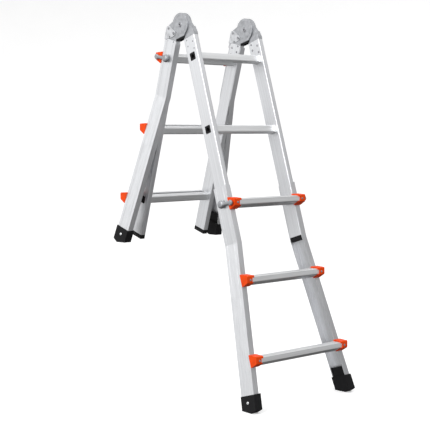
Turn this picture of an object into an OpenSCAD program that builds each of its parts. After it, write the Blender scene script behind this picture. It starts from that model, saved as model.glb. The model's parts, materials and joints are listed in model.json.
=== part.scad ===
// Telescoping multi position ladder, standing open as a stepladder.
// Two halves meet at a pair of locking hinges. Each half is an inner frame with a wider
// outer section that slides along it and locks at every rung.
// Millimetres. X runs along the rungs, the front half faces -Y, Z is up from the floor.
// Shapes of a half are drawn as [n, d]: n is outward from the hinge plane, d is down the rail.

/* [Stance] */
// Lean of each half from upright, degrees
tilt = 17.2; // [16:0.2:18.4]
// Rung spacing along the rails
rung_pitch = 304.8; // [290:0.1:304.8]
// Rungs the front outer section is slid out by
front_steps = 2; // [0:1:2]
// Rungs the rear outer section is slid out by
rear_steps = 0; // [0:1:2]
// Hinge axis to the first inner rung
first_rung = 148; // [146:1:152]

/* [Inner frame] */
// Clear width between the inner rails
clear_width = 328; // [300:1:400]
// Inner rail size along the rungs
rail_width = 23; // [22.8:0.1:23.4]
// Inner rail size across the rungs
rail_depth = 66; // [64:0.5:67]
// Inner rail wall
rail_wall = 2; // [1.6:0.1:2]
// Inner rung side
rung_side = 30; // [28:0.5:31]
// Rung wall
rung_wall = 1.8; // [1.2:0.1:2]
// Black cap under each inner rail
cap_height = 18; // [12:1:24]

/* [Outer section] */
// Outer rail flange measured from the web's outer face
flange_width = 25.4; // [24:0.2:27]
// Outer rail web thickness
web = 2.5; // [2:0.1:2.5]
// Sideways flare of the outer rail per millimetre down
flare = 0.127; // [0:0.001:0.13]
// Outer rail top above its first rung
rail_head = 70; // [66:1:70]
// Bend below the outer section's first rung
bend_drop = 160; // [140:1:200]
// Rung height below its tread line
rung_drop = 25; // [22:0.5:25]
// Rung reach in front of the flange
rung_reach = 35; // [32:0.5:36]

/* [Feet] */
// Last rung to the floor along the rail
floor_drop = 190; // [180:1:200]
// Boot height along the rail
boot_height = 63.5; // [60:0.5:70]
// Upward bevel at the boot's toe
toe_rise = 16; // [10:0.5:18]

/* [Hinge] */
// Hinge disc radius
disc_radius = 47.5; // [47:0.1:48]
// Pivot pin radius
pivot_radius = 6; // [5:0.5:7]
// Lock pin radius
lock_radius = 4; // [3.5:0.1:4]

/* [Sub-part] */
// Sub-part to draw

/* [Hidden] */
$fn = 48;

front = 0;
rear = 1;
gap = 0.1;

// Inner frame
rail_in = clear_width / 2;
rail_out = rail_in + rail_width;
rail_back = 4;
rail_front = rail_back + rail_depth;
rail_mid = rail_back + rail_depth / 2;
rail_top = [66.5, 70];
frame_end = first_rung + 2 * rung_pitch + 169.4;
rail_end = frame_end - cap_height;
rib = 0.8;
rung_hole = rung_side + 2 * rib + 0.2;
bush_flange = 1.5;
bush_length = 25;
lock_bore = 8.5;
rivet_spots = [[20.5, 75.5], [54.5, 91], [21, 101], [55, 120]];
rivet_radius = 3;

// Outer section
running_gap = 0.5;
web_in = rail_out + running_gap;
web_out = web_in + web;
flange = 2.4;
outer_back = rail_back - 0.4 - flange;
outer_front = rail_front + 0.4 + flange;
steps = [front_steps, rear_steps];
bracket_wall = 3;
bracket_span = 24;
bracket_lip = 9;
rivet_inset = 14.5;

// Outer rung in level axes, [outward, up] from the flange at the rung's tread line
rung_top = 13;
front_low = -9;
flange_lean = tan(tilt);
rung_points = [
  [-rung_top * flange_lean + gap, rung_top],
  [rung_drop * flange_lean + 0.5, -rung_drop],
  [rung_reach, front_low],
  [rung_reach, rung_top]
];
bracket_points = [
  [-19.4 * flange_lean + gap, 19.4],
  [28.5 * flange_lean + gap, -28.5],
  [rung_reach + 3.6, front_low - 1.2],
  [rung_reach + 3.3, 17.5]
];
tread_ribs = [3, 9, 15, 21, 27];

// Spring locks on the outer section's first rung
lock_pin_radius = 8;
lock_gap = 4.5;
lock_head = 12;
arm_gap = 7.5;
rod = [22, 0];
rod_radius = 5.5;
rod_end = 40;
rod_n = outer_front + rod[0] * cos(tilt) + rod[1] * sin(tilt);
rod_d = rod[0] * sin(tilt) - rod[1] * cos(tilt);

// Feet and floor
boot_back = 0.5;
boot_front = outer_front + 4.7;
boot_wall = 3;
boot_width = 34.5;
sole_end = rail_mid + 13;
tongue = 100;
screw_up = 36;

// Hinge
fork_in = rail_in - 0.5;
fork_out = rail_out + 0.5;
cheek = 5;
arm_in = fork_in + cheek + 0.3;
arm_out = fork_out - cheek - 0.3;
core_in = rail_in + rail_wall + gap;
core_out = rail_out - rail_wall - gap;
core_end = 130;
hub_radius = disc_radius - 1.5;
// Line that the black guard reaches when the halves are folded together
stop_line = 58.4;
stop_normal = [0.511, 0.859];
lock_way = [0.555, 0.832];
lock_turn = 90 - atan2(lock_way[1], lock_way[0]);
lock_rest = hub_radius + lock_radius + 0.4;
lock_in = lock_rest - 3.4;
lock_out = lock_rest + 7.6;
lever_pivot = [64, 30];
lever_sheet = 2;
lever_hole = [46.6, 62];
opening = 2 * tilt;

function unit(v) = v / norm(v);

// Polygon with each corner eased back by a distance
function eased(points, cut, parts = 4) = [
  for (i = [0 : len(points) - 1])
    let (
      here = points[i],
      enter = here + unit(points[(i + len(points) - 1) % len(points)] - here) * cut,
      leave = here + unit(points[(i + 1) % len(points)] - here) * cut
    )
    for (k = [0 : parts])
      let (t = k / parts)
      (1 - t) * (1 - t) * enter + 2 * t * (1 - t) * here + t * t * leave
];

function left_of(v) = [-v[1], v[0]];

// Convex polygon, drawn counterclockwise, with every side moved inward
function inset(points, wall) = [
  for (i = [0 : len(points) - 1])
    let (
      here = points[i],
      one = left_of(unit(here - points[(i + len(points) - 1) % len(points)])),
      two = left_of(unit(points[(i + 1) % len(points)] - here))
    )
    here + wall * (one + two) / (1 + one * two)
];

function box_points(x0, x1, y0, y1) = [[x0, y0], [x1, y0], [x1, y1], [x0, y1]];
function inner_level(i) = first_rung + (i - 1) * rung_pitch;
function outer_level(half, i) = inner_level(i + steps[half]);
function bend(half) = outer_level(half, 1) + bend_drop;
function spread(half, d) = flare * max(0, d - bend(half));
function floor_length(half) = outer_level(half, 3) + floor_drop;
function floor_d(half, n) = floor_length(half) + (n - rail_mid) * flange_lean;
function toe_d(half) = floor_d(half, boot_front) - toe_rise / cos(tilt);
function reach(half) = boot_front * cos(tilt) + toe_d(half) * sin(tilt);

hinge_z = floor_length(front) * cos(tilt) - rail_mid * sin(tilt);
frame_y = (reach(front) - reach(rear)) / 2;

// Placing

module placed(half) {
  translate([0, frame_y, hinge_z])
    mirror([0, half == rear ? 1 : 0, 0])
      rotate([-tilt, 0, 0])
        children();
}

module left_side() {
  mirror([1, 0, 0]) children();
}

module both_sides() {
  children();
  left_side() children();
}

// Side shape [n, d] pushed along the rungs
module across(x0, x1) {
  translate([x0, 0, 0])
    rotate([90, 0, 90])
      linear_extrude(x1 - x0)
        rotate(180)
          children();
}

// Cross-section [x, n] pushed down the rail
module along_rail(d0, d1) {
  translate([0, 0, -d1])
    linear_extrude(d1 - d0)
      mirror([0, 1])
        children();
}

// Front shape [x, d] pushed outward
module outward(n0, n1) {
  translate([0, -n0, 0])
    rotate([90, 0, 0])
      linear_extrude(n1 - n0)
        mirror([0, 1])
          children();
}

// Round bar or hole along the rungs
module cross_bar(spot, radius, x0, x1) {
  translate([x0, -spot[0], -spot[1]])
    rotate([0, 90, 0])
      cylinder(r = radius, h = x1 - x0);
}

// Level axes at the outer rail's flange, at one rung
module at_rung(half, i) {
  translate([0, -outer_front, -outer_level(half, i)])
    rotate([tilt, 0, 0])
      children();
}

// Level shape [outward, up] pushed along the rungs
module level_across(x0, x1) {
  translate([x0, 0, 0])
    rotate([90, 0, 90])
      linear_extrude(x1 - x0)
        mirror([1, 0])
          children();
}

// Strip that follows the outer rail's bend, between two distances from its axis plane
module bent_strip(half, x0, x1, d0, d1, n0, n1) {
  far = spread(half, d1);
  outward(n0, n1)
    polygon([
      [x0, d0], [x1, d0], [x1, bend(half)], [x1 + far, d1], [x0 + far, d1], [x0, bend(half)]
    ]);
}

// Inner frame

module rail(half) {
  difference() {
    along_rail(rail_top[half], rail_end)
      polygon(eased(box_points(rail_in, rail_out, rail_back, rail_front), 3));
    along_rail(rail_top[half] - 1, rail_end + 1)
      polygon(inset(box_points(rail_in, rail_out, rail_back, rail_front), rail_wall));
    for (i = [1 : 3])
      across(rail_in - 1, rail_out + 1)
        translate([rail_mid, inner_level(i)])
          rung_square(rung_hole);
    for (spot = rivet_spots)
      cross_bar(spot, rivet_radius + gap, rail_in - 1, rail_out + 1);
  }
}

module rung_square(side) {
  polygon(eased(box_points(-side / 2, side / 2, -side / 2, side / 2), 5));
}

module inner_rung(i) {
  ends = rail_out - bush_flange - gap;
  difference() {
    union() {
      across(-ends, ends)
        translate([rail_mid, inner_level(i)])
          ribbed_square();
      both_sides()
        across(rail_in - 3.5, rail_in - gap)
          translate([rail_mid, inner_level(i)])
            rung_square(rung_hole + 3);
    }
    across(-ends - 1, ends + 1)
      translate([rail_mid, inner_level(i)])
        rung_square(rung_side - 2 * rung_wall);
  }
}

module ribbed_square() {
  half_side = rung_side / 2;
  rung_square(rung_side);
  for (n = [-7.5 : 5 : 7.5])
    for (face = [-1, 1])
      translate([n - 1, face * half_side - rib])
        square([2, 2 * rib]);
}

module bushes() {
  both_sides()
    for (i = [1 : 3])
      difference() {
        union() {
          across(rail_out - bush_flange, rail_out)
            translate([rail_mid, inner_level(i)])
              rung_square(rung_hole - 0.2);
          across(rail_out - bush_length, rail_out - bush_flange)
            translate([rail_mid, inner_level(i)])
              rung_square(rung_side - 2 * rung_wall - 0.2);
        }
        cross_bar([rail_mid, inner_level(i)], lock_bore, rail_out - 30, rail_out + 1);
      }
}

module end_caps() {
  both_sides() {
    along_rail(rail_end + gap, frame_end)
      polygon(eased(box_points(rail_in, rail_out, rail_back, rail_front), 3));
    along_rail(rail_end - 28, rail_end + gap)
      polygon(eased(
        inset(box_points(rail_in, rail_out, rail_back, rail_front), rail_wall + gap), 1.5));
  }
}

module hinge_rivets() {
  both_sides()
    for (spot = rivet_spots) {
      cross_bar(spot, rivet_radius, rail_in - 1, rail_out + 0.2);
      cross_bar(spot, rivet_radius + 1.8, rail_in - 1.6, rail_in - 0.05);
      cross_bar(spot, rivet_radius + 1.8, rail_out + 0.05, rail_out + 0.3);
    }
}

// Hinge

module core(start) {
  difference() {
    across(core_in, core_out)
      polygon(eased(box_points(rail_back + 2.2, rail_front - 2.2, start, core_end), 2));
    for (spot = rivet_spots)
      cross_bar(spot, rivet_radius + gap, core_in - 1, core_out + 1);
    cross_bar([rail_mid, (start + core_end) / 2 + 2], 9, core_in - 1, core_out - 4);
  }
}

module hinge_arm() {
  difference() {
    union() {
      cross_bar([0, 0], hub_radius, arm_in, arm_out);
      across(arm_in, arm_out)
        polygon([[0, 0], [39, -25], [52, 4], [64, 31], [68.1, 56], [67.7, 70], [6.2, 70], [5, 50]]);
      arm_shoulder();
      core(rail_top[front] + gap);
    }
    cross_bar([0, 0], pivot_radius + 0.05, arm_in - 1, arm_out + 1);
    for (turn = [0, opening, 180])
      lock_notch(turn);
  }
}

// Full width part of the arm between the hinge disc and the rail's end
module arm_shoulder() {
  end = rail_top[front] - gap;
  difference() {
    across(rail_in, rail_out)
      polygon([
        [rail_front - 6, (stop_line - stop_normal[0] * (rail_front - 6)) / stop_normal[1]],
        [rail_front, end - 12],
        [rail_front, end],
        [rail_back, end],
        [rail_back, (stop_line - stop_normal[0] * rail_back) / stop_normal[1]]
      ]);
    cross_bar([0, 0], 60.6, rail_in - 1, rail_out + 1);
  }
}

// Notch in the hub where the lock pin falls at one opening angle
module lock_notch(turn) {
  way = [-sin(turn + lock_turn), cos(turn + lock_turn)];
  cross_bar(way * lock_in, lock_radius + 0.3, arm_in - 1, arm_out + 1);
}

module fork_side() {
  circle(r = disc_radius);
  polygon([
    [0, 0], [49, 0], [68, 18], [74, 30], [72.5, 45], [rail_front, rail_top[rear] - gap],
    [rail_back, rail_top[rear] - gap], [7.4, 62.4], [-37.8, 35.5], [-43, 20]
  ]);
}

module hinge_fork() {
  difference() {
    union() {
      difference() {
        across(fork_in, fork_out) fork_side();
        across(fork_in + cheek, fork_out - cheek)
          polygon([[-60, -60], [90, -60], [90, 54], [0, 54], [0, 60], [-60, 60]]);
      }
      core(54);
    }
    cross_bar([0, 0], pivot_radius + gap, fork_in - 1, fork_out + 1);
    across(fork_in - 1, fork_out + 1) lock_slot();
    cross_bar(lever_pivot, 3 + gap, fork_in - 1, fork_out + 1);
    cross_bar(lever_hole, 3.5, fork_in - 1, fork_out + 1);
    lock_spring_bore();
  }
}

// Round-ended slot between two points, its straight part a touch narrower than its ends
module slot(from, to, radius) {
  side = (radius - 0.05) * left_of(unit(to - from));
  translate(from) circle(r = radius);
  translate(to) circle(r = radius);
  polygon([from - side, to - side, to + side, from + side]);
}

module lock_slot() {
  slot(lock_way * (lock_in - 0.4), lock_way * (lock_out + 0.4), lock_radius + 0.3);
}

// Axes with Z along the lock pin's path, in the middle of the hinge
module on_lock_path(r) {
  translate([(rail_in + rail_out) / 2, -lock_way[0] * r, -lock_way[1] * r])
    rotate([180 - lock_turn, 0, 0])
      children();
}

module lock_spring_bore() {
  on_lock_path(lock_out + lock_radius + 0.6) cylinder(r = 3.6, h = 27);
}

module ridged_sleeve(length, inner, outer) {
  turns = floor(length / 3);
  rise = length / turns;
  rotate_extrude()
    polygon(concat(
      [[inner, 0]],
      [for (k = [0 : turns - 1], step = [0, 1])
        [step == 0 ? outer - 0.7 : outer, (k + step * 0.5) * rise]],
      [[outer - 0.7, length], [inner, length]]
    ));
}

module hinge_lock_springs() {
  start = lock_rest + lock_radius + 0.1;
  both_sides()
    on_lock_path(start)
      ridged_sleeve(lock_out + lock_radius + 27 - start, 1.8, 3.3);
}

module hinge_pivot_pins() {
  both_sides() {
    cross_bar([0, 0], pivot_radius, fork_in - 0.5, fork_out + 0.5);
    for (x = [fork_in - 2.2, fork_out + 0.05])
      cross_bar([0, 0], pivot_radius + 2.4, x, x + 2.15);
  }
}

module hinge_guards() {
  edge = unit([-37.8 - 7.4, 35.5 - 62.4]);
  out = [-0.511, 0.859];
  both_sides()
    for (x = [fork_in, fork_out - cheek])
      across(x, x + cheek)
        polygon([
          [7.4, 62.4] + 1.8 * edge + gap * out,
          [7.4, 62.4] + 1.8 * edge + 8 * out,
          [-37.8, 35.5] - 3 * edge + 8 * out,
          [-37.8, 35.5] + gap * out
        ]);
}

module lever_pivot_pins() {
  both_sides() {
    cross_bar(lever_pivot, 3, fork_in - 3.3, fork_out + 3.3);
    for (x = [fork_in - 3.8, fork_out + 2.5])
      cross_bar(lever_pivot, 5, x, x + 1.3);
  }
}

module hinge_lock_pin() {
  cross_bar(lock_way * lock_rest, lock_radius, fork_in - 3.2, fork_out + 3.2);
}

module lever_side() {
  pin = lock_way * lock_rest;
  arm = unit(pin - lever_pivot);
  difference() {
    polygon(eased([
      [76, 22], [58, 19], [36, 27], [19, 33], [17, 47], [28, 57], [50, 68], [66, 74],
      [78.5, 78], [78.5, 33]
    ], 4));
    translate(lever_pivot) circle(r = 3.2);
    translate(lever_hole) circle(r = 3.5);
    slot(pin - 1.2 * arm, pin + 3.6 * arm, lock_radius + 0.9);
  }
}

module release_lever() {
  middle = (rail_in + rail_out) / 2;
  for (x = [fork_in - 0.4 - lever_sheet, fork_out + 0.4])
    across(x, x + lever_sheet) lever_side();
  across(fork_in - 0.2 - lever_sheet, fork_out + 0.2 + lever_sheet)
    polygon([[75.6, 37], [78.1, 37], [78.1, 67], [75.6, 67]]);
  across(middle - 6, middle + 6)
    polygon([[76, 60], [77.8, 60], [84.5, 92], [82, 93]]);
  translate([middle, -83.5, -95])
    sphere(r = 4.5);
}

// Outer section

module channel(half) {
  top = outer_level(half, 1) - rail_head;
  end = floor_length(half) - 20;
  bent_strip(half, web_in, web_out, top, end, outer_back, outer_front);
  bent_strip(half, web_out - flange_width, web_out, top, end, outer_back, outer_back + flange);
  bent_strip(half, web_out - flange_width, web_out, top, end, outer_front - flange, outer_front);
}

module outer_rail(half) {
  top = outer_level(half, 1) - rail_head;
  end = floor_length(half) - 20;
  difference() {
    channel(half);
    for (n = [outer_back + 14, outer_front - 17])
      bent_strip(half, web_out - 0.5, web_out + 1, top - 1, end + 1, n, n + 3);
    cross_bar([rail_mid, outer_level(half, 1)], lock_pin_radius + 0.4, web_in - 1, web_out + 1);
    foot_screw_place(half) cylinder(r = 2.8, h = 40, center = true);
  }
}

module ribbed_rung() {
  polygon(eased(rung_points, 3.5));
  for (out = tread_ribs)
    translate([out - 1, rung_top - rib])
      square([2, 2 * rib]);
}

module outer_rung(half, i) {
  end = web_out + spread(half, outer_level(half, i));
  at_rung(half, i)
    difference() {
      level_across(-end, end) ribbed_rung();
      level_across(-end - 1, end + 1) polygon(eased(inset(rung_points, rung_wall), 2));
      both_sides() bracket_rivet_hole(end);
    }
}

module bracket_rivet_hole(end) {
  translate([end - rivet_inset, -rung_reach + 5, 1])
    rotate([90, 0, 0])
      cylinder(r = 2.6, h = 15);
}

module bracket_section() {
  difference() {
    polygon(eased(bracket_points, 4));
    polygon(eased(inset(rung_points, -0.15), 3.4));
    translate([1, rung_top - 1]) square([29, rib + 1.3]);
  }
}

module bracket(half, i) {
  end = web_out + spread(half, outer_level(half, i));
  at_rung(half, i)
    difference() {
      union() {
        level_across(end + gap, end + bracket_wall) polygon(eased(bracket_points, 4));
        level_across(end - bracket_span, end + 2 * gap) bracket_section();
        level_across(end - bracket_span - bracket_lip, end - bracket_span + gap)
          intersection() {
            bracket_section();
            union() {
              translate([-10, 9]) square([60, 20]);
              translate([-10, -40]) square([60, 30]);
            }
          }
      }
      bracket_rivet_hole(end);
      if (i == 1)
        translate([end - 1, -rod[0], rod[1]])
          rotate([0, 90, 0])
            cylinder(r = rod_radius + 0.6, h = 8);
    }
}

module brackets(half, i) {
  both_sides() bracket(half, i);
}

module bracket_rivets(half) {
  both_sides()
    for (i = [1 : 3])
      at_rung(half, i)
        translate([web_out + spread(half, outer_level(half, i)) - rivet_inset, 0, 1])
          rotate([90, 0, 0]) {
            translate([0, 0, rung_reach - 5]) cylinder(r = 2.5, h = 9);
            translate([0, 0, rung_reach + 3.7]) cylinder(r = 4.6, h = 1.8);
            translate([0, 0, rung_reach - 5]) cylinder(r = 4, h = 3);
          }
}

// Spring lock: a pin into the rung's end, joined by an arm to a guide rod in the outer rung

module spring_lock(half) {
  level = outer_level(half, 1);
  head = [rail_mid, level];
  guide = [rod_n, level + rod_d];
  way = unit(guide - head);
  wide = left_of(way);
  cross_bar(head, lock_pin_radius, web_in + 0.1, web_out + lock_gap + 1);
  cross_bar(head, 16, web_out + lock_gap, web_out + lock_gap + lock_head);
  cross_bar(head, 12.5, web_out + lock_gap + lock_head - 0.1, web_out + lock_gap + lock_head + 2);
  cross_bar(guide, 11, web_out + arm_gap, web_out + arm_gap + 8);
  across(web_out + arm_gap, web_out + arm_gap + 7.5)
    polygon([head + 9 * wide, head - 9 * wide, guide - 7.5 * wide, guide + 7.5 * wide]);
  cross_bar(guide, rod_radius, web_out - rod_end, web_out + arm_gap + 1);
  cross_bar(guide, 8, web_out - rod_end, web_out - rod_end + 2.5);
}

module lock_springs(half) {
  both_sides()
    at_rung(half, 1)
      translate([web_out - rod_end + 2.6, -rod[0], rod[1]])
        rotate([0, 90, 0])
          ridged_sleeve(rod_end - 2.7, rod_radius + 0.4, rod_radius + 2.2);
}

// Feet

module boot_block(half) {
  top = floor_length(half) - boot_height;
  low = floor_length(half) + 25;
  intersection() {
    outward(boot_back, boot_front)
      polygon([
        [web_out + boot_wall + spread(half, top), top],
        [web_out + boot_wall + spread(half, low), low],
        [web_out + boot_wall - boot_width + spread(half, low), low],
        [web_out + boot_wall - boot_width + spread(half, top), top]
      ]);
    across(web_out - 60, web_out + 120)
      polygon([
        [boot_back, top],
        [boot_front, top],
        [boot_front, toe_d(half)],
        [sole_end, floor_d(half, sole_end)],
        [boot_back, floor_d(half, boot_back)]
      ]);
  }
}

module boot_tongue(half) {
  top = floor_length(half) - tongue;
  low = floor_length(half) - boot_height + 1;
  outward(outer_back + flange + gap, outer_front - flange - gap)
    polygon([
      [web_in - gap + spread(half, top), top],
      [web_in - gap + spread(half, low), low],
      [web_in - 19 + spread(half, low), low],
      [web_in - 19 + spread(half, top), top]
    ]);
}

// Pocket in the boot for the end of the channel
module boot_pocket(half) {
  end = floor_length(half) - 20 + gap;
  top = bend(half) - 1;
  back = outer_back - gap;
  face = outer_front + gap;
  rim = flange + 2 * gap;
  x0 = web_out - flange_width - gap;
  bent_strip(half, web_in - gap, web_out + gap, top, end, back, face);
  bent_strip(half, x0, web_out + gap, top, end, back, back + rim);
  bent_strip(half, x0, web_out + gap, top, end, face - rim, face);
}

module foot(half) {
  difference() {
    union() {
      boot_block(half);
      boot_tongue(half);
    }
    boot_pocket(half);
    foot_screw_place(half) cylinder(r = 2.8, h = 30, center = true);
    for (n = [9 : 11 : 42])
      translate([0, -n, -floor_d(half, n)])
        rotate([tilt, 0, 0])
          translate([web_out - 60, -2, -1])
            cube([180, 4, 3]);
  }
}

// Axes on the boot's outer side, Z along the screw
module foot_screw_place(half) {
  level = floor_length(half) - screw_up;
  translate([web_out + boot_wall + spread(half, level), -rail_mid - 1, -level])
    rotate([0, 90 - atan(flare), 0])
      children();
}

module foot_screws(half) {
  both_sides()
    foot_screw_place(half) {
      translate([0, 0, -14]) cylinder(r = 2.5, h = 15);
      translate([0, 0, 0.1]) cylinder(r = 6, h = 2.4);
    }
}

// Sub-parts

module aluminium() {
  color([0.82, 0.83, 0.85]) children();
}

module cast() {
  color([0.62, 0.63, 0.65]) children();
}

module steel() {
  color([0.55, 0.56, 0.58]) children();
}

module orange() {
  color([0.95, 0.33, 0.06]) children();
}

module black() {
  color([0.08, 0.08, 0.09]) children();
}

module front_rail_left() { aluminium() placed(front) left_side() rail(front); }
module front_rail_right() { aluminium() placed(front) rail(front); }
module front_rung_1() { aluminium() placed(front) inner_rung(1); }
module front_rung_2() { aluminium() placed(front) inner_rung(2); }
module front_rung_3() { aluminium() placed(front) inner_rung(3); }
module front_bushes() { black() placed(front) bushes(); }
module front_end_caps() { black() placed(front) end_caps(); }
module hinge_arm_left() { cast() placed(front) left_side() hinge_arm(); }
module hinge_arm_right() { cast() placed(front) hinge_arm(); }
module front_hinge_rivets() { steel() placed(front) hinge_rivets(); }

module rear_rail_left() { aluminium() placed(rear) left_side() rail(rear); }
module rear_rail_right() { aluminium() placed(rear) rail(rear); }
module rear_rung_1() { aluminium() placed(rear) inner_rung(1); }
module rear_rung_2() { aluminium() placed(rear) inner_rung(2); }
module rear_rung_3() { aluminium() placed(rear) inner_rung(3); }
module rear_bushes() { black() placed(rear) bushes(); }
module rear_end_caps() { black() placed(rear) end_caps(); }
module hinge_fork_left() { cast() placed(rear) left_side() hinge_fork(); }
module hinge_fork_right() { cast() placed(rear) hinge_fork(); }
module rear_hinge_rivets() { steel() placed(rear) hinge_rivets(); }

module hinge_pivots() { steel() placed(rear) hinge_pivot_pins(); }
module guards() { black() placed(rear) hinge_guards(); }
module lever_pivots() { steel() placed(rear) lever_pivot_pins(); }
module pin_springs() { steel() placed(rear) hinge_lock_springs(); }
module hinge_lock_pin_left() { steel() placed(rear) left_side() hinge_lock_pin(); }
module hinge_lock_pin_right() { steel() placed(rear) hinge_lock_pin(); }
module release_lever_left() { cast() placed(rear) left_side() release_lever(); }
module release_lever_right() { cast() placed(rear) release_lever(); }

module front_outer_rail_left() { aluminium() placed(front) left_side() outer_rail(front); }
module front_outer_rail_right() { aluminium() placed(front) outer_rail(front); }
module front_outer_rung_1() { aluminium() placed(front) outer_rung(front, 1); }
module front_outer_rung_2() { aluminium() placed(front) outer_rung(front, 2); }
module front_outer_rung_3() { aluminium() placed(front) outer_rung(front, 3); }
module front_brackets_1() { orange() placed(front) brackets(front, 1); }
module front_brackets_2() { orange() placed(front) brackets(front, 2); }
module front_brackets_3() { orange() placed(front) brackets(front, 3); }
module front_bracket_rivets() { steel() placed(front) bracket_rivets(front); }
module front_lock_springs() { steel() placed(front) lock_springs(front); }
module front_foot_left() { black() placed(front) left_side() foot(front); }
module front_foot_right() { black() placed(front) foot(front); }
module front_foot_screws() { steel() placed(front) foot_screws(front); }

module rear_outer_rail_left() { aluminium() placed(rear) left_side() outer_rail(rear); }
module rear_outer_rail_right() { aluminium() placed(rear) outer_rail(rear); }
module rear_outer_rung_1() { aluminium() placed(rear) outer_rung(rear, 1); }
module rear_outer_rung_2() { aluminium() placed(rear) outer_rung(rear, 2); }
module rear_outer_rung_3() { aluminium() placed(rear) outer_rung(rear, 3); }
module rear_brackets_1() { orange() placed(rear) brackets(rear, 1); }
module rear_brackets_2() { orange() placed(rear) brackets(rear, 2); }
module rear_brackets_3() { orange() placed(rear) brackets(rear, 3); }
module rear_bracket_rivets() { steel() placed(rear) bracket_rivets(rear); }
module rear_lock_springs() { steel() placed(rear) lock_springs(rear); }
module rear_foot_left() { black() placed(rear) left_side() foot(rear); }
module rear_foot_right() { black() placed(rear) foot(rear); }
module rear_foot_screws() { steel() placed(rear) foot_screws(rear); }

module front_lock_left() { cast() placed(front) left_side() spring_lock(front); }
module front_lock_right() { cast() placed(front) spring_lock(front); }
module rear_lock_left() { cast() placed(rear) left_side() spring_lock(rear); }
module rear_lock_right() { cast() placed(rear) spring_lock(rear); }

front_rail_left();
front_rail_right();
front_rung_1();
front_rung_2();
front_rung_3();
front_bushes();
front_end_caps();
hinge_arm_left();
hinge_arm_right();
front_hinge_rivets();
rear_rail_left();
rear_rail_right();
rear_rung_1();
rear_rung_2();
rear_rung_3();
rear_bushes();
rear_end_caps();
hinge_fork_left();
hinge_fork_right();
rear_hinge_rivets();
hinge_pivots();  // hinge_pivot_pins
guards();  // hinge_guards
lever_pivots();  // lever_pivot_pins
pin_springs();  // hinge_lock_springs
hinge_lock_pin_left();
hinge_lock_pin_right();
release_lever_left();
release_lever_right();
front_outer_rail_left();
front_outer_rail_right();
front_outer_rung_1();
front_outer_rung_2();
front_outer_rung_3();
front_brackets_1();
front_brackets_2();
front_brackets_3();
front_bracket_rivets();
front_lock_springs();
front_foot_left();
front_foot_right();
front_foot_screws();
rear_outer_rail_left();
rear_outer_rail_right();
rear_outer_rung_1();
rear_outer_rung_2();
rear_outer_rung_3();
rear_brackets_1();
rear_brackets_2();
rear_brackets_3();
rear_bracket_rivets();
rear_lock_springs();
rear_foot_left();
rear_foot_right();
rear_foot_screws();
front_lock_left();
front_lock_right();
rear_lock_left();
rear_lock_right();
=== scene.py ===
import json
import math
from functools import partial

import bmesh
import bpy
from mathutils import Matrix, Vector


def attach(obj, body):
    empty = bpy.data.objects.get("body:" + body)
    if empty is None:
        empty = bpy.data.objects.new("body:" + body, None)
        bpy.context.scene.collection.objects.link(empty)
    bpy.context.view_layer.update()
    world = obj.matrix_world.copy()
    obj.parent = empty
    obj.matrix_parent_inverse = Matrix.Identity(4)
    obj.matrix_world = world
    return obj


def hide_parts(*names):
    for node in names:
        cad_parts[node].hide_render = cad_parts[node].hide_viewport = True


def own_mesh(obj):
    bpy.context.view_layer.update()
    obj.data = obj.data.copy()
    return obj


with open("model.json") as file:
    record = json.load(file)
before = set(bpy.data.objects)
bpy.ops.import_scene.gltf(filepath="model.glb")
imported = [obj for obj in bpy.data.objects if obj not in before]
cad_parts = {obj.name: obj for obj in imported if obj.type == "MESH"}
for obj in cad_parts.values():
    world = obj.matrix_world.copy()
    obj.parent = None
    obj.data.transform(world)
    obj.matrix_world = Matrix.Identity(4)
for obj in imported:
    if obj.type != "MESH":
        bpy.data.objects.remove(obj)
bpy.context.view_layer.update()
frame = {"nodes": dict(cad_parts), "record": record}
nodes = frame["nodes"]
scene = bpy.context.scene

# each rail leans this far from upright, and the hinge axis stands here, in mm
TILT = math.radians(17.2)
COS, SIN = math.cos(TILT), math.sin(TILT)
HINGE_Y, HINGE_Z = 90.13, 1476.62
OUTWARD = {"front": -1, "rear": 1}


def place(half, x, n, d):
    """A point of one half: x along the rungs, n outward, d down the rail, all in mm."""
    y = HINGE_Y + OUTWARD[half] * (n * COS + d * SIN)
    return Vector((x, y, HINGE_Z + n * SIN - d * COS)) / 1000


# ---------------------------------------------------------------- camera

# where the camera stands in metres, which way it looks, and its lens in mm
EYE = (-2.98405, -3.34798, 1.03257)
YAW, PITCH, ROLL = math.radians(49.098), math.radians(-4.18), math.radians(-0.303)
FOCAL_LENGTH, SENSOR_WIDTH = 91.36, 36
forward = Vector((math.cos(PITCH) * math.cos(YAW), math.cos(PITCH) * math.sin(YAW), math.sin(PITCH)))
right = forward.cross(Vector((0, 0, 1))).normalized()
up = right.cross(forward)
right, up = (
    math.cos(ROLL) * right + math.sin(ROLL) * up,
    -math.sin(ROLL) * right + math.cos(ROLL) * up,
)
lens = bpy.data.cameras.new("camera")
lens.sensor_width = SENSOR_WIDTH
lens.lens = FOCAL_LENGTH
lens.clip_end = 200
camera = bpy.data.objects.new("camera", lens)
scene.collection.objects.link(camera)
camera.matrix_world = Matrix.Translation(EYE) @ Matrix((right, up, -forward)).transposed().to_4x4()
scene.camera = camera

# ---------------------------------------------------------------- light and floor

scene.view_settings.view_transform = "Standard"
scene.view_settings.look = "None"


def node_tree(owner):
    owner.use_nodes = True
    tree = owner.node_tree
    tree.nodes.clear()
    return tree


def add(tree, kind, inputs=None, **settings):
    node = tree.nodes.new(kind)
    for key, value in settings.items():
        setattr(node, key, value)
    for key, value in (inputs or {}).items():
        socket = node.inputs[key]
        if isinstance(value, bpy.types.NodeSocket):
            tree.links.new(value, socket)
        else:
            socket.default_value = value
    return node


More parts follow.
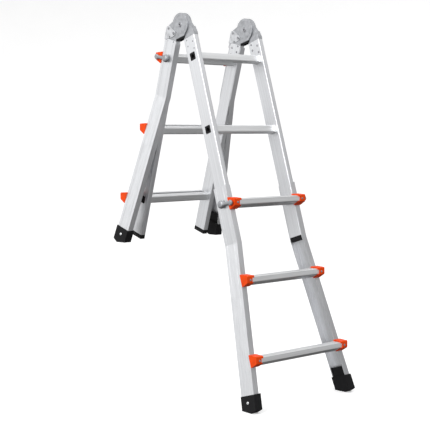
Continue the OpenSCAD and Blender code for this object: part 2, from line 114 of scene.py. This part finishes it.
def ramp_color(tree, value, stops):
    node = add(tree, "ShaderNodeValToRGB", {0: value})
    ramp = node.color_ramp
    while len(ramp.elements) > 1:
        ramp.elements.remove(ramp.elements[-1])
    ramp.elements[0].position, ramp.elements[0].color = stops[0][0], (*stops[0][1], 1)
    for position, color in stops[1:]:
        element = ramp.elements.new(position)
        element.color = (*color, 1)
    return node.outputs[0]


def grey_ramp(tree, value, stops):
    return ramp_color(tree, value, [(position, (level,) * 3) for position, level in stops])


def height_ramp(tree, height, stops):
    """Brightness by height of the direction, from -1 straight down to 1 straight up."""
    share = add(tree, "ShaderNodeMapRange", {"Value": height, "From Min": -1, "From Max": 1}).outputs[0]
    return grey_ramp(tree, share, [((z + 1) / 2, level) for z, level in stops])


world = bpy.data.worlds.new("studio")
scene.world = world
tree = node_tree(world)
split = add(tree, "ShaderNodeSeparateXYZ", {0: add(tree, "ShaderNodeTexCoord").outputs["Generated"]})
# a pale room that darkens towards the floor; the front right is dim below a bright panel
around = height_ramp(tree, split.outputs["Z"], [
    (-0.75, 0.06), (-0.5, 0.16), (-0.3, 0.42), (-0.1, 0.86), (0.1, 1.05), (0.6, 1.0), (0.95, 0.9)])
front_right = height_ramp(tree, split.outputs["Z"], [
    (-0.75, 0.03), (-0.5, 0.17), (-0.25, 0.40), (-0.06, 0.66), (0.12, 0.24), (0.30, 0.22),
    (0.52, 0.95), (0.95, 0.8)])
toward_front = add(tree, "ShaderNodeMath", {0: split.outputs["Y"], 1: -0.62}, operation="MULTIPLY")
toward = add(
    tree, "ShaderNodeMath", {0: split.outputs["X"], 1: 0.78, 2: toward_front.outputs[0]},
    operation="MULTIPLY_ADD").outputs[0]
share = add(tree, "ShaderNodeMapRange", {"Value": toward, "From Min": 0.05, "From Max": 0.6}).outputs[0]
blend = {"Factor": share, 6: around, 7: front_right}
mixed = add(tree, "ShaderNodeMix", blend, data_type="RGBA").outputs[2]
background = add(tree, "ShaderNodeBackground", {"Color": mixed, "Strength": 1.0})
add(tree, "ShaderNodeOutputWorld", {0: background.outputs[0]})


def area_light(name, location, target, size, power):
    data = bpy.data.lights.new(name, "AREA")
    data.shape = "RECTANGLE"
    data.size, data.size_y = size
    data.energy = power
    light = bpy.data.objects.new(name, data)
    light.location = location
    light.rotation_euler = (Vector(target) - Vector(location)).to_track_quat("-Z", "Y").to_euler()
    scene.collection.objects.link(light)


area_light("key", (-3.2, -0.6, 2.6), (0, 0, 0.8), (2.0, 2.0), 60)
area_light("front", (-0.6, -3.2, 3.0), (0, -0.1, 1.1), (1.6, 1.2), 22)
area_light("back", (1.5, 3.5, 3.0), (0, 0, 0.9), (2.5, 2.0), 10)


def floor_material():
    mat = bpy.data.materials.new("studio_floor")
    tree = node_tree(mat)
    coords = add(tree, "ShaderNodeTexCoord").outputs["Object"]
    noise = add(tree, "ShaderNodeTexNoise", {"Vector": coords, "Scale": 3.0, "Detail": 4.0})
    ramp = add(tree, "ShaderNodeMapRange", {"Value": noise.outputs[0], "To Min": 0.86, "To Max": 0.9})
    shader = add(tree, "ShaderNodeBsdfPrincipled", {
        "Base Color": ramp.outputs[0], "Roughness": 0.95, "Specular IOR Level": 0.1,
        "Emission Color": (1, 1, 1, 1), "Emission Strength": 0.32})
    add(tree, "ShaderNodeOutputMaterial", {0: shader.outputs[0]})
    return mat


def studio_floor():
    """Round floor that curves up into a wall, so every view has the same pale backdrop."""
    flat, bend, top, drop = 14, 6, 40, 0.0005
    segments, bend_steps = 96, 8
    bm = bmesh.new()
    turns = [math.pi / 2 * t / bend_steps for t in range(1, bend_steps + 1)]
    profile = [(0, 0), (flat, 0)]
    profile += [(flat + bend * math.sin(t), bend - bend * math.cos(t)) for t in turns]
    profile += [(flat + bend, top)]
    rings = []
    for radius, height in profile:
        count = segments if radius else 1
        rings.append([
            bm.verts.new((radius * math.cos(a), radius * math.sin(a), height - drop))
            for a in (2 * math.pi * k / segments for k in range(count))])
    for low, high in zip(rings, rings[1:]):
        for k in range(segments):
            n = (k + 1) % segments
            corners = [low[k % len(low)], high[k], high[n]]
            if len(low) > 1:
                corners.append(low[n])
            bm.faces.new(corners).smooth = True
    bmesh.ops.recalc_face_normals(bm, faces=bm.faces)
    mesh = bpy.data.meshes.new("studio_floor")
    bm.to_mesh(mesh)
    bm.free()
    floor = bpy.data.objects.new("studio_floor", mesh)
    floor.data.materials.append(floor_material())
    scene.collection.objects.link(floor)
    floor.visible_glossy = floor.visible_diffuse = floor.visible_shadow = False


studio_floor()

# ---------------------------------------------------------------- materials


def aligned(tree, half):
    """Object coordinates turned so that Z runs up the rail of that half."""
    coords = add(tree, "ShaderNodeTexCoord").outputs["Object"]
    inputs = {"Vector": coords, "Rotation": (-OUTWARD[half] * TILT, 0, 0)}
    return add(tree, "ShaderNodeMapping", inputs, vector_type="POINT").outputs[0]


def stretched(tree, coords, scale):
    return add(tree, "ShaderNodeVectorMath", {0: coords, 1: scale}, operation="MULTIPLY").outputs[0]


def finish_material(mat, tree, shader):
    add(tree, "ShaderNodeOutputMaterial", {0: shader.outputs[0]})
    return mat


def eased_edges(tree, radius):
    """Shading normal that rolls over the sharp edges of a metal part."""
    return add(tree, "ShaderNodeBevel", {"Radius": radius}, samples=6).outputs[0]


def extruded_aluminium(name, half, grain, tone=(0.80, 0.81, 0.83), roughness=0.36):
    """Satin extrusion: fine die lines along the length, a drift in gloss, small scuffs."""
    mat = bpy.data.materials.new(name)
    tree = node_tree(mat)
    coords = aligned(tree, half)
    along = (1, 1, 0.012) if grain == "rail" else (0.012, 1, 1)
    fine = add(tree, "ShaderNodeTexNoise", {
        "Vector": stretched(tree, coords, along), "Scale": 1400.0, "Detail": 3.0, "Roughness": 0.6})
    broad = add(tree, "ShaderNodeTexNoise", {
        "Vector": stretched(tree, coords, along), "Scale": 160.0, "Detail": 2.0})
    drift = add(tree, "ShaderNodeTexNoise", {"Vector": coords, "Scale": 9.0, "Detail": 4.0})
    scuff = add(tree, "ShaderNodeTexNoise", {
        "Vector": stretched(tree, coords, (1, 1, 0.3)), "Scale": 210.0, "Detail": 6.0, "Roughness": 0.7})
    dark = tuple(c * 0.86 for c in tone)
    light = tuple(min(1.0, c * 1.06) for c in tone)
    mixed = add(tree, "ShaderNodeMath", {
        0: fine.outputs[0], 1: 0.5,
        2: add(tree, "ShaderNodeMath", {0: broad.outputs[0], 1: 0.5}, operation="MULTIPLY").outputs[0],
    }, operation="MULTIPLY_ADD").outputs[0]
    color = ramp_color(tree, mixed, [(0.3, dark), (0.55, tone), (0.75, light)])
    rough_base = add(tree, "ShaderNodeMapRange", {
        "Value": drift.outputs[0], "To Min": roughness - 0.06, "To Max": roughness + 0.08}).outputs[0]
    marks = add(tree, "ShaderNodeMapRange", {
        "Value": scuff.outputs[0], "From Min": 0.62, "From Max": 0.75,
        "To Min": 0.0, "To Max": 0.12}).outputs[0]
    rough = add(tree, "ShaderNodeMath", {0: rough_base, 1: marks}, operation="ADD").outputs[0]
    bump = add(tree, "ShaderNodeBump", {
        "Strength": 0.25, "Distance": 0.0002, "Height": mixed,
        "Normal": eased_edges(tree, 0.0009)}).outputs[0]
    shader = add(tree, "ShaderNodeBsdfPrincipled", {
        "Base Color": color, "Metallic": 0.92, "Roughness": rough, "Normal": bump,
        "Anisotropic": 0.4})
    return finish_material(mat, tree, shader)


def cast_metal(name, half, tone, roughness=0.48, grain=900.0, bump=0.35, edge=0.001):
    """Die-cast or pressed metal: fine pitted skin, cloudy in tone and gloss."""
    mat = bpy.data.materials.new(name)
    tree = node_tree(mat)
    coords = aligned(tree, half)
    fine = add(tree, "ShaderNodeTexNoise", {
        "Vector": coords, "Scale": grain, "Detail": 4.0, "Roughness": 0.65})
    cloud = add(tree, "ShaderNodeTexNoise", {"Vector": coords, "Scale": 60.0, "Detail": 5.0})
    pits = add(tree, "ShaderNodeTexVoronoi", {"Vector": coords, "Scale": grain * 0.6}, feature="F1")
    dark = tuple(c * 0.8 for c in tone)
    light = tuple(min(1.0, c * 1.12) for c in tone)
    color = ramp_color(tree, cloud.outputs[0], [(0.3, dark), (0.5, tone), (0.72, light)])
    rough = add(tree, "ShaderNodeMapRange", {
        "Value": cloud.outputs[0], "From Min": 0.3, "From Max": 0.7,
        "To Min": roughness + 0.07, "To Max": roughness - 0.08}).outputs[0]
    height = add(tree, "ShaderNodeMath", {
        0: pits.outputs["Distance"], 1: 0.5, 2: fine.outputs[0]}, operation="MULTIPLY_ADD").outputs[0]
    normal = add(tree, "ShaderNodeBump", {
        "Strength": bump, "Distance": 0.0003, "Height": height,
        "Normal": eased_edges(tree, edge)}).outputs[0]
    shader = add(tree, "ShaderNodeBsdfPrincipled", {
        "Base Color": color, "Metallic": 0.85, "Roughness": rough, "Normal": normal})
    return finish_material(mat, tree, shader)


def moulded(name, half, tone, roughness, bump, grain=1500.0, light=1.15, dark=0.85, specular=0.5):
    """Moulded plastic or rubber: fine spark texture, a slight drift in tone and gloss."""
    mat = bpy.data.materials.new(name)
    tree = node_tree(mat)
    coords = aligned(tree, half)
    spark = add(tree, "ShaderNodeTexNoise", {"Vector": coords, "Scale": grain, "Detail": 3.0})
    cloud = add(tree, "ShaderNodeTexNoise", {
        "Vector": coords, "Scale": 45.0, "Detail": 6.0, "Roughness": 0.6})
    color = ramp_color(tree, cloud.outputs[0], [
        (0.3, tuple(c * dark for c in tone)), (0.5, tone),
        (0.75, tuple(min(1.0, c * light) for c in tone))])
    rough = add(tree, "ShaderNodeMapRange", {
        "Value": cloud.outputs[0], "From Min": 0.3, "From Max": 0.7,
        "To Min": roughness - 0.06, "To Max": roughness + 0.08}).outputs[0]
    normal = add(tree, "ShaderNodeBump", {
        "Strength": bump, "Distance": 0.0002, "Height": spark.outputs[0]}).outputs[0]
    shader = add(tree, "ShaderNodeBsdfPrincipled", {
        "Base Color": color, "Roughness": rough, "Normal": normal, "Specular IOR Level": specular})
    return finish_material(mat, tree, shader)


FINISHES = {
    "rail_aluminium": partial(extruded_aluminium, grain="rail"),
    "rung_aluminium": partial(extruded_aluminium, grain="rung", tone=(0.90, 0.91, 0.92), roughness=0.32),
    "hinge_casting": partial(cast_metal, tone=(0.47, 0.48, 0.50), edge=0.002),
    "lever_casting": partial(cast_metal, tone=(0.66, 0.67, 0.69), roughness=0.4),
    "lock_casting": partial(cast_metal, tone=(0.42, 0.43, 0.45), roughness=0.45),
    "steel": partial(
        cast_metal, tone=(0.36, 0.36, 0.38), roughness=0.38, grain=1800.0, bump=0.15, edge=0.0003),
    "bright_steel": partial(
        cast_metal, tone=(0.86, 0.87, 0.88), roughness=0.25, grain=1800.0, bump=0.1, edge=0.0003),
    "orange_plastic": partial(
        moulded, tone=(0.88, 0.07, 0.002), roughness=0.52, bump=0.3, specular=0.16),
    "black_rubber": partial(
        moulded, tone=(0.007, 0.007, 0.008), roughness=0.7, bump=0.6, grain=1100.0,
        light=1.9, dark=0.7, specular=0.22),
    "black_plastic": partial(
        moulded, tone=(0.005, 0.005, 0.006), roughness=0.55, bump=0.3, specular=0.25),
}
MATERIALS = {}


def material(finish, half):
    """One material for each finish on each half, made when it is first asked for."""
    key = (finish, half)
    if key not in MATERIALS:
        MATERIALS[key] = FINISHES[finish](f"{finish}_{half}", half)
    return MATERIALS[key]


slots = {entry["node"]: entry["material_slot"] for entry in frame["record"]["subparts"]}


def half_of(name):
    return "front" if name.startswith("front") or name.startswith("hinge_arm") else "rear"


def soften(piece, width):
    """Rounds the edges of a moulded part."""
    weld = piece.modifiers.new("weld", "WELD")
    weld.merge_threshold = 0.000002
    bevel = piece.modifiers.new("edges", "BEVEL")
    bevel.width = width
    bevel.segments = 2
    bevel.limit_method = "ANGLE"
    bevel.angle_limit = math.radians(30)
    bevel.harden_normals = False
    bevel.use_clamp_overlap = True


# ---------------------------------------------------------------- sizes shared with the CAD, in mm

RUNG_PITCH = 304.8
FIRST_RUNG = 148
# rung spacings that each outer section is drawn out by
DRAWN_OUT = {"front": 2, "rear": 0}
RAIL_IN, RAIL_OUT, RAIL_MID = 164.0, 187.0, 37.0
WEB_OUT = 190.0
FORK_IN, FORK_OUT = 163.5, 187.5
OUTER_FRONT = 72.8
FLARE, BEND_DROP = 0.127, 160
FLOOR_DROP, BOOT_WALL, SCREW_UP = 190, 3, 36
# the spring locks' guide rods, out from the flange
LOCK_OUT = 22
# the hinge lock pins' way from the hinge axis, outward and down the rail, and their springs on it
LOCK_WAY = Vector((0.555, 0.832)).normalized()
HINGE_COIL_X, HINGE_COIL_ENDS = 175.5, (54.5, 88.9)
HALVES = ("front", "rear")
SIDES = {"left": -1, "right": 1}
RUNGS = (1, 2, 3)


def outer_level(half, i):
    """How far an outer rung is down the rail from the hinge axis."""
    return FIRST_RUNG + (i - 1 + DRAWN_OUT[half]) * RUNG_PITCH


def spread(half, d):
    """How far the flare has carried the outer rail sideways."""
    return FLARE * max(0, d - outer_level(half, 1) - BEND_DROP)


def level_point(half, x, i, out, rise):
    """A point in level axes at one outer rung: out from the flange at the tread line."""
    tread = place(half, x, OUTER_FRONT, outer_level(half, i))
    return tread + Vector((0, OUTWARD[half] * out, rise)) / 1000


def sideways(side):
    return Vector((side, 0, 0))


# ---------------------------------------------------------------- turned and swept shapes


def square_axes(axis):
    axis = axis.normalized()
    first = axis.orthogonal().normalized()
    return axis, first, axis.cross(first)


def bridge(bm, low, high):
    """Side faces between two closed rings of the same count."""
    for k in range(len(low)):
        n = (k + 1) % len(low)
        bm.faces.new((low[k], low[n], high[n], high[k]))


def closed_tube(bm, rings):
    for low, high in zip(rings, rings[1:]):
        bridge(bm, low, high)
    bm.faces.new(rings[0][::-1])
    bm.faces.new(rings[-1])


def turned(bm, origin, axis, profile, segments=32):
    """A shape turned about an axis. The profile lists (distance along, radius) in mm."""
    axis, first, second = square_axes(axis)
    rings = []
    for along, radius in profile:
        centre = origin + axis * along / 1000
        if radius == 0:
            rings.append([bm.verts.new(centre)])
            continue
        rings.append([
            bm.verts.new(centre + (first * math.cos(a) + second * math.sin(a)) * radius / 1000)
            for a in (2 * math.pi * k / segments for k in range(segments))])
    for low, high in zip(rings, rings[1:]):
        for k in range(segments):
            n = (k + 1) % segments
            corners = [low[k % len(low)], low[n % len(low)], high[n % len(high)], high[k % len(high)]]
            bm.faces.new([c for q, c in enumerate(corners) if c not in corners[:q]])


def plug(start, end, radius):
    """Profile of a plain cylinder."""
    return [(start, 0), (start, radius), (end, radius), (end, 0)]


def dome(start, height, radius, steps=5):
    """Profile of a domed head standing on a plane."""
    angles = [math.pi / 2 * k / steps for k in range(1, steps)]
    curve = [(start + height * math.sin(t), radius * math.cos(t)) for t in angles]
    return [(start, 0), (start, radius)] + curve + [(start + height, 0)]


def pebble(start, end, radius, ease, steps=4):
    """Profile of a disc with both rims rounded."""
    angles = [math.pi / 2 * k / steps for k in range(steps + 1)]
    rim = [(ease * (1 - math.sin(t)), radius - ease * (1 - math.cos(t))) for t in angles]
    back = [(start + inset, r) for inset, r in reversed(rim)]
    front = [(end - inset, r) for inset, r in rim]
    return [(start, 0)] + back + front + [(end, 0)]


def coil(bm, origin, axis, radius, wire, length, turns, per_turn=20, around=8):
    """Wire of this radius wound into a helical spring with its ends wound close."""
    close_turns, close_pitch = 0.9, 2.05 * wire
    open_turns = turns - 2 * close_turns
    open_length = length - 2 * wire - 2 * close_turns * close_pitch
    axis, first, second = square_axes(axis)
    rings = []
    for k in range(turns * per_turn + 1):
        turn = k / per_turn
        closed = min(turn, close_turns) + max(0.0, turn - turns + close_turns)
        opened = min(1.0, max(0.0, (turn - close_turns) / open_turns))
        rise = wire + close_pitch * closed + open_length * opened
        out = first * math.cos(2 * math.pi * turn) + second * math.sin(2 * math.pi * turn)
        centre = origin + (axis * rise + out * radius) / 1000
        rings.append([
            bm.verts.new(centre + (out * math.cos(b) + axis * math.sin(b)) * wire / 1000)
            for b in (2 * math.pi * q / around for q in range(around))])
    closed_tube(bm, rings)


def finished(name, bm, slot, half, body, *replaced, finish=None):
    """Makes the piece: smooth with sharp edges kept, riding its body, in place of CAD nodes."""
    bmesh.ops.recalc_face_normals(bm, faces=bm.faces)
    mesh = bpy.data.meshes.new(name)
    bm.to_mesh(mesh)
    bm.free()
    for face in mesh.polygons:
        face.use_smooth = True
    mesh.set_sharp_from_angle(angle=math.radians(35))
    piece = bpy.data.objects.new(name, mesh)
    mesh.materials.append(material(finish or slot, half))
    scene.collection.objects.link(piece)
    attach(piece, body)
    if replaced:
        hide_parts(*replaced)
    return piece


# ---------------------------------------------------------------- rivets and screws

# places of the four rivets in each rail, as (n, d)
HINGE_RIVETS = ((20.5, 75.5), (54.5, 91), (21, 101), (55, 120))


def hinge_rivet_heads(half):
    """Domed heads on both faces of each rail, with the end of the shank under each."""
    shank, sunk = 2.9, 4
    bm = bmesh.new()
    for side in SIDES.values():
        axis = sideways(side)
        for n, d in HINGE_RIVETS:
            spot = place(half, 0, n, d)
            turned(bm, spot, axis, dome(RAIL_OUT - 0.6, 0.9, 4.6))
            turned(bm, spot, axis, plug(RAIL_OUT - sunk, RAIL_OUT - 0.5, shank))
            turned(bm, spot, -axis, dome(-RAIL_IN + 0.05, 1.5, 4.8))
            turned(bm, spot, -axis, plug(-RAIL_IN - sunk, -RAIL_IN + 0.2, shank))
    finished(
        f"{half}_hinge_rivet_heads", bm, "steel", half, f"{half}_inner_frame", f"{half}_hinge_rivets")


def blind_rivets(half):
    """Domed flanges with the broken mandrel in the middle, one in each bracket."""
    from_web = 14.5
    shank = [(30, 0), (30, 4), (33, 4), (33, 2.5), (38.7, 2.5)]
    flange = [(38.7, 4.6), (39.2, 4.6), (39.9, 3.9), (40.4, 2.5)]
    mandrel = [(40.4, 1.5), (40.0, 1.2), (40.0, 0)]
    bm = bmesh.new()
    axis = Vector((0, OUTWARD[half], 0))
    for side in SIDES.values():
        for i in RUNGS:
            x = side * (WEB_OUT + spread(half, outer_level(half, i)) - from_web)
            turned(bm, level_point(half, x, i, 0, 1), axis, shank + flange + mandrel)
    finished(
        f"{half}_blind_rivets", bm, "steel", half, f"{half}_outer_section", f"{half}_bracket_rivets")


def cross_outline(reach, wide):
    """Outline of a cross-shaped slot, each arm this long and 2 * wide across."""
    quarter = [(wide, reach), (wide, wide), (reach, wide)]
    right = quarter + [(u, -v) for u, v in reversed(quarter)]
    return right + [(-u, v) for u, v in reversed(right)]


def screw_head(bm, origin, axis):
    """Pan head with a cross-shaped slot."""
    segments, rim_radius, rim_height = 32, 4.6, 2.1
    crown, slot_floor, slot_taper = 2.3, 0.7, 0.8
    axis, first, second = square_axes(axis)

    def ring(outline, along):
        return [bm.verts.new(origin + (axis * along + first * u + second * v) / 1000) for u, v in outline]

    shank = [(-12, 0), (-12, 2.4), (0.1, 2.4)]
    head = [(0.1, 6), (0.9, 6), (1.6, 5.5), (rim_height, rim_radius)]
    turned(bm, origin, axis, shank + head, segments)
    cross = cross_outline(3.4, 0.9)
    angles = [2 * math.pi * k / segments for k in range(segments)]
    rim = ring([(rim_radius * math.cos(a), rim_radius * math.sin(a)) for a in angles], rim_height)
    mouth = ring(cross, crown)
    bottom = ring([(u * slot_taper, v * slot_taper) for u, v in cross], slot_floor)
    edges = [
        bm.edges.new((loop[k], loop[(k + 1) % len(loop)]))
        for loop in (rim, mouth) for k in range(len(loop))]
    bmesh.ops.triangle_fill(bm, edges=edges, use_beauty=True, normal=axis)
    bridge(bm, mouth, bottom)
    bm.faces.new(bottom)


def cross_head_screws(half):
    """One screw through each boot, square to the flared rail."""
    d = outer_level(half, 3) + FLOOR_DROP - SCREW_UP
    up_rail = (place(half, 0, 0, -1) - place(half, 0, 0, 0)) * 1000
    slope = math.atan(FLARE)
    bm = bmesh.new()
    for side in SIDES.values():
        origin = place(half, side * (WEB_OUT + BOOT_WALL + spread(half, d)), RAIL_MID + 1, d)
        screw_head(bm, origin, sideways(side * math.cos(slope)) + up_rail * math.sin(slope))
    bmesh.ops.remove_doubles(bm, verts=bm.verts, dist=0.000005)
    finished(
        f"{half}_cross_head_screws", bm, "steel", half, f"{half}_outer_section", f"{half}_foot_screws",
        finish="bright_steel")


for half in HALVES:
    hinge_rivet_heads(half)
    blind_rivets(half)
    cross_head_screws(half)

# ---------------------------------------------------------------- springs


def lock_coil(half, name, side):
    """Around a lock's guide rod; pulling the lock shortens it against the bracket."""
    length = 37.2
    bm = bmesh.new()
    axis = sideways(side)
    origin = level_point(half, side * (WEB_OUT - 37.3), 1, LOCK_OUT, 0)
    coil(bm, origin, axis, 6.8, 0.8, length, 9)
    piece = finished(
        f"{half}_lock_coil_{name}", bm, "steel", half, f"{half}_outer_section", f"{half}_lock_springs")
    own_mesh(piece)


def hinge_coil(name, side):
    """Behind a hinge's lock pin; the release lever pushes the pin down onto it."""
    start, end = (
        place("rear", side * HINGE_COIL_X, LOCK_WAY[0] * reach, LOCK_WAY[1] * reach)
        for reach in HINGE_COIL_ENDS)
    bm = bmesh.new()
    coil(bm, start, end - start, 2.5, 0.65, 34.2, 12, 16, 6)
    piece = finished(
        f"hinge_lock_coil_{name}", bm, "steel", "rear", "rear_inner_frame", "hinge_lock_springs")
    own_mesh(piece)


for half in HALVES:
    for name, side in SIDES.items():
        lock_coil(half, name, side)
for name, side in SIDES.items():
    hinge_coil(name, side)

# ---------------------------------------------------------------- hinge discs and pivots

HINGE_AXIS = place("rear", 0, 0, 0)


def fork_faces(side):
    """Outer and inner face of one fork: the way each looks, and how far it is along that way."""
    return (sideways(side), FORK_OUT), (-sideways(side), -FORK_IN)


def hinge_pivot_heads():
    """Headed pivots with a drilled middle."""
    shank, sunk = 6, 2.9
    bm = bmesh.new()
    for side in SIDES.values():
        for outer, face in fork_faces(side):
            neck = [(-3, 0), (-3, shank), (0.05, shank)]
            head = [(0.05, 8.4), (1.3, 8.4), (1.9, 7.8), (2.15, 6.8)]
            drilled = [(2.15, 4.4), (1.6, 3.8), (-2, 3.2), (-2, 0)]
            profile = [(face + along, r) for along, r in neck + head + drilled]
            turned(bm, HINGE_AXIS, outer, profile, 40)
        turned(bm, HINGE_AXIS, sideways(side), plug(FORK_IN + sunk, FORK_OUT - sunk, shank), 40)
    finished("hinge_pivot_heads", bm, "steel", "rear", "rear_inner_frame", "hinge_pivot_pins")


def hinge_disc_rings(name, side):
    """Raised rings pressed into the fork plates, one around the pivot and one near the rim."""
    inner = [(-1, 9.2), (0.35, 9.4), (0.8, 10.4), (0.8, 11.6), (0.3, 12.8), (-1, 13.0), (-1, 9.2)]
    outer = [(-1, 34.4), (0.1, 34.6), (0.35, 35.4), (0.35, 36.6), (0.1, 37.4), (-1, 37.6), (-1, 34.4)]
    bm = bmesh.new()
    for way, face in fork_faces(side):
        for profile, segments in ((inner, 64), (outer, 96)):
            turned(bm, HINGE_AXIS, way, [(face + along, r) for along, r in profile], segments)
    finished(f"hinge_disc_rings_{name}", bm, "hinge_casting", "rear", "rear_inner_frame")


hinge_pivot_heads()
for name, side in SIDES.items():
    hinge_disc_rings(name, side)

# ---------------------------------------------------------------- spring locks


def swept_bar(bm, half, side, start, end, widths, reach, steps=10, around=20):
    """Waisted bar from one spot (n, d) to another, its section a squared oval in X."""
    squareness, waist = 0.7, 1.6
    start, end = Vector(start), Vector(end)
    way = (end - start).normalized()
    across = Vector((-way.y, way.x))
    middle, thick = sum(reach) / 2, (reach[1] - reach[0]) / 2

    def squared(value):
        return math.copysign(abs(value) ** squareness, value)

    rings = []
    for k in range(steps + 1):
        t = k / steps
        spot = start.lerp(end, t)
        wide = widths[0] + (widths[1] - widths[0]) * t - waist * math.sin(math.pi * t)
        ring = []
        for a in (2 * math.pi * q / around for q in range(around)):
            p = spot + across * squared(math.cos(a)) * wide
            x = side * (middle + squared(math.sin(a)) * thick)
            ring.append(bm.verts.new(place(half, x, p.x, p.y)))
        rings.append(ring)
    closed_tube(bm, rings)


def j_lock(half, name, side):
    """Pin and knob at the rail's middle, an arm, and a guide rod that runs into the rung."""
    level = outer_level(half, 1)
    head = (RAIL_MID, level)
    guide = (OUTER_FRONT + LOCK_OUT * COS, level + LOCK_OUT * SIN)
    at_head, at_guide = place(half, 0, *head), place(half, 0, *guide)
    axis = sideways(side)
    bm = bmesh.new()
    turned(bm, at_head, axis, [(187.6, 0), (187.6, 6.8), (188.8, 8), (196, 8), (196, 0)])
    rim = [(194.5, 0), (194.5, 13.6), (195.2, 15.2), (196.4, 16), (198.6, 16), (199.8, 15.4)]
    waist = [(201, 14.2), (202.4, 13.9), (203.6, 14.6), (204.8, 14.6)]
    cap = [(206, 13.4), (207, 11.6), (207.9, 8.6), (208.4, 4.6), (208.5, 0)]
    turned(bm, at_head, axis, rim + waist + cap, 48)
    swept_bar(bm, half, side, head, guide, (9, 7.5), (197.5, 205))
    turned(bm, at_guide, axis, pebble(197.5, 205.5, 11, 2.4), 40)
    washer = [(150, 0), (150, 8), (152.5, 8)]
    rod = [(152.5, 5.5), (198.5, 5.5), (198.5, 0)]
    turned(bm, at_guide, axis, washer + rod)
    lock = f"{half}_lock_{name}"
    finished(f"{half}_j_lock_{name}", bm, "lock_casting", half, lock, lock)


for half in HALVES:
    for name, side in SIDES.items():
        j_lock(half, name, side)

# ---------------------------------------------------------------- finishes of the CAD nodes

SOFT_EDGES = {"orange_plastic": 0.0009, "black_rubber": 0.0018, "black_plastic": 0.0006}
for name, piece in nodes.items():
    slot = slots[name]
    piece.data.materials.clear()
    piece.data.materials.append(material(slot, half_of(name)))
    if slot in SOFT_EDGES:
        soften(piece, SOFT_EDGES[slot])
